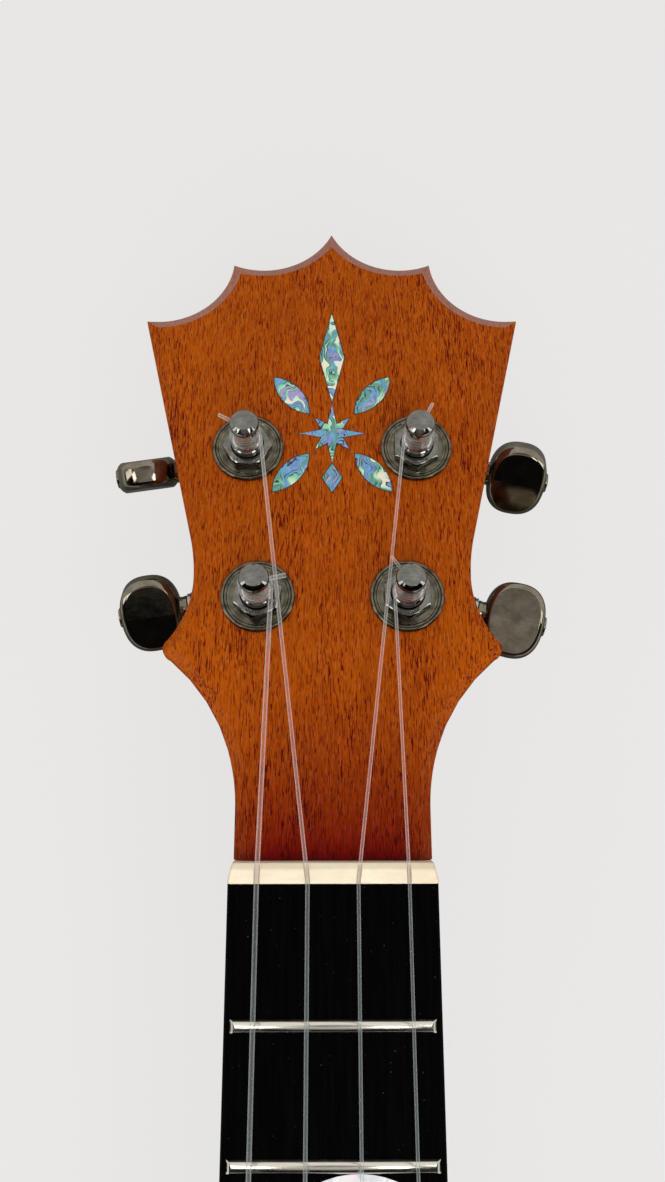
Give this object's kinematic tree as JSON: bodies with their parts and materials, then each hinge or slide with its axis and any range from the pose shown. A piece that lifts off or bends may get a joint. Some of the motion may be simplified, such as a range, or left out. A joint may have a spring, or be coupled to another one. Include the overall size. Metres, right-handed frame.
{
  "type": "tenor ukulele",
  "caption": "Tenor ukulele with a flat back, tie bridge and crown-shaped slanted head, whose geared tuners wind clear strings.",
  "frame": {"origin": "middle of the whole instrument's box, on the plane that its flat back rests on", "axes": "+Z out of the soundboard, +Y along the neck towards the head, +X across it to the treble side"},
  "size_m": [0.225, 0.6781, 0.0807],
  "materials": {
    "mahogany": "satin",
    "spruce": "matte",
    "ebony": "gloss",
    "rosewood": "satin",
    "bone": "satin",
    "nickel_silver": "polished",
    "clear_nylon": "gloss",
    "smoked_nickel": "polished",
    "plated_button": "polished",
    "brushed_steel": "satin"
  },
  "bodies": {
    "instrument": {"neck": "mahogany", "headplate": "mahogany", "fingerboard": "ebony", "fret_01": "nickel_silver", "fret_02": "nickel_silver", "fret_03": "nickel_silver", "fret_04": "nickel_silver", "fret_05": "nickel_silver", "fret_06": "nickel_silver", "fret_07": "nickel_silver", "fret_08": "nickel_silver", "fret_09": "nickel_silver", "fret_10": "nickel_silver", "fret_11": "nickel_silver", "fret_12": "nickel_silver", "fret_13": "nickel_silver", "fret_14": "nickel_silver", "fret_15": "nickel_silver", "fret_16": "nickel_silver", "fret_17": "nickel_silver", "fret_18": "nickel_silver", "nut": "bone", "saddle": "bone", "bridge": "rosewood", "bridge_plate": "spruce", "soundboard": "mahogany", "back_plate": "mahogany", "bass_side": "mahogany", "treble_side": "mahogany", "neck_block": "spruce", "tail_block": "spruce", "top_bracing": "spruce", "back_bracing": "spruce", "heel_cap": "mahogany", "string_g": "clear_nylon", "string_c": "clear_nylon", "string_e": "clear_nylon", "string_a": "clear_nylon", "housing_upper_bass": "smoked_nickel", "housing_lower_bass": "smoked_nickel", "housing_upper_treble": "smoked_nickel", "housing_lower_treble": "smoked_nickel", "bushing_upper_bass": "smoked_nickel", "bushing_lower_bass": "smoked_nickel", "bushing_upper_treble": "smoked_nickel", "bushing_lower_treble": "smoked_nickel"},
    "button_upper_bass": {"button_upper_bass": "plated_button", "worm_shaft_upper_bass": "brushed_steel"},
    "post_upper_bass": {"post_upper_bass": "brushed_steel"},
    "button_lower_bass": {"button_lower_bass": "plated_button", "worm_shaft_lower_bass": "brushed_steel"},
    "post_lower_bass": {"post_lower_bass": "brushed_steel"},
    "button_upper_treble": {"button_upper_treble": "plated_button", "worm_shaft_upper_treble": "brushed_steel"},
    "post_upper_treble": {"post_upper_treble": "brushed_steel"},
    "button_lower_treble": {"button_lower_treble": "plated_button", "worm_shaft_lower_treble": "brushed_steel"},
    "post_lower_treble": {"post_lower_treble": "brushed_steel"}
  },
  "joints": [
    {"name": "button_upper_bass_turn", "type": "hinge", "parent": "instrument", "child": "button_upper_bass", "pos_m": [-0.01808, 0.28929, 0.03944], "axis": [-0.989, -0.1455, 0.0262], "continuous": true},
    {"name": "post_upper_bass_turn", "type": "hinge", "parent": "instrument", "child": "post_upper_bass", "pos_m": [-0.0172, 0.28666, 0.058], "axis": [0, 0.1771, 0.9842], "continuous": true, "deforming": ["string_c"]},
    {"name": "button_lower_bass_turn", "type": "hinge", "parent": "instrument", "child": "button_lower_bass", "pos_m": [-0.01553, 0.25788, 0.04509], "axis": [-0.9877, -0.154, 0.0277], "continuous": true},
    {"name": "post_lower_bass_turn", "type": "hinge", "parent": "instrument", "child": "post_lower_bass", "pos_m": [-0.0146, 0.25526, 0.06365], "axis": [0, 0.1771, 0.9842], "continuous": true, "deforming": ["string_g"]},
    {"name": "button_upper_treble_turn", "type": "hinge", "parent": "instrument", "child": "button_upper_treble", "pos_m": [0.01828, 0.28925, 0.03944], "axis": [0.9833, -0.1794, 0.0323], "continuous": true},
    {"name": "post_upper_treble_turn", "type": "hinge", "parent": "instrument", "child": "post_upper_treble", "pos_m": [0.0172, 0.28666, 0.058], "axis": [0, 0.1771, 0.9842], "continuous": true, "deforming": ["string_e"]},
    {"name": "button_lower_treble_turn", "type": "hinge", "parent": "instrument", "child": "button_lower_treble", "pos_m": [0.01594, 0.25781, 0.0451], "axis": [0.9744, -0.2214, 0.0398], "continuous": true},
    {"name": "post_lower_treble_turn", "type": "hinge", "parent": "instrument", "child": "post_lower_treble", "pos_m": [0.0146, 0.25526, 0.06365], "axis": [0, 0.1771, 0.9842], "continuous": true, "deforming": ["string_a"]}
  ],
  "couplings": [
    {"joint": "post_upper_bass_turn", "follows": "button_upper_bass_turn", "ratio": -0.071429},
    {"joint": "post_lower_bass_turn", "follows": "button_lower_bass_turn", "ratio": -0.071429},
    {"joint": "post_upper_treble_turn", "follows": "button_upper_treble_turn", "ratio": 0.071429},
    {"joint": "post_lower_treble_turn", "follows": "button_lower_treble_turn", "ratio": 0.071429}
  ]
}
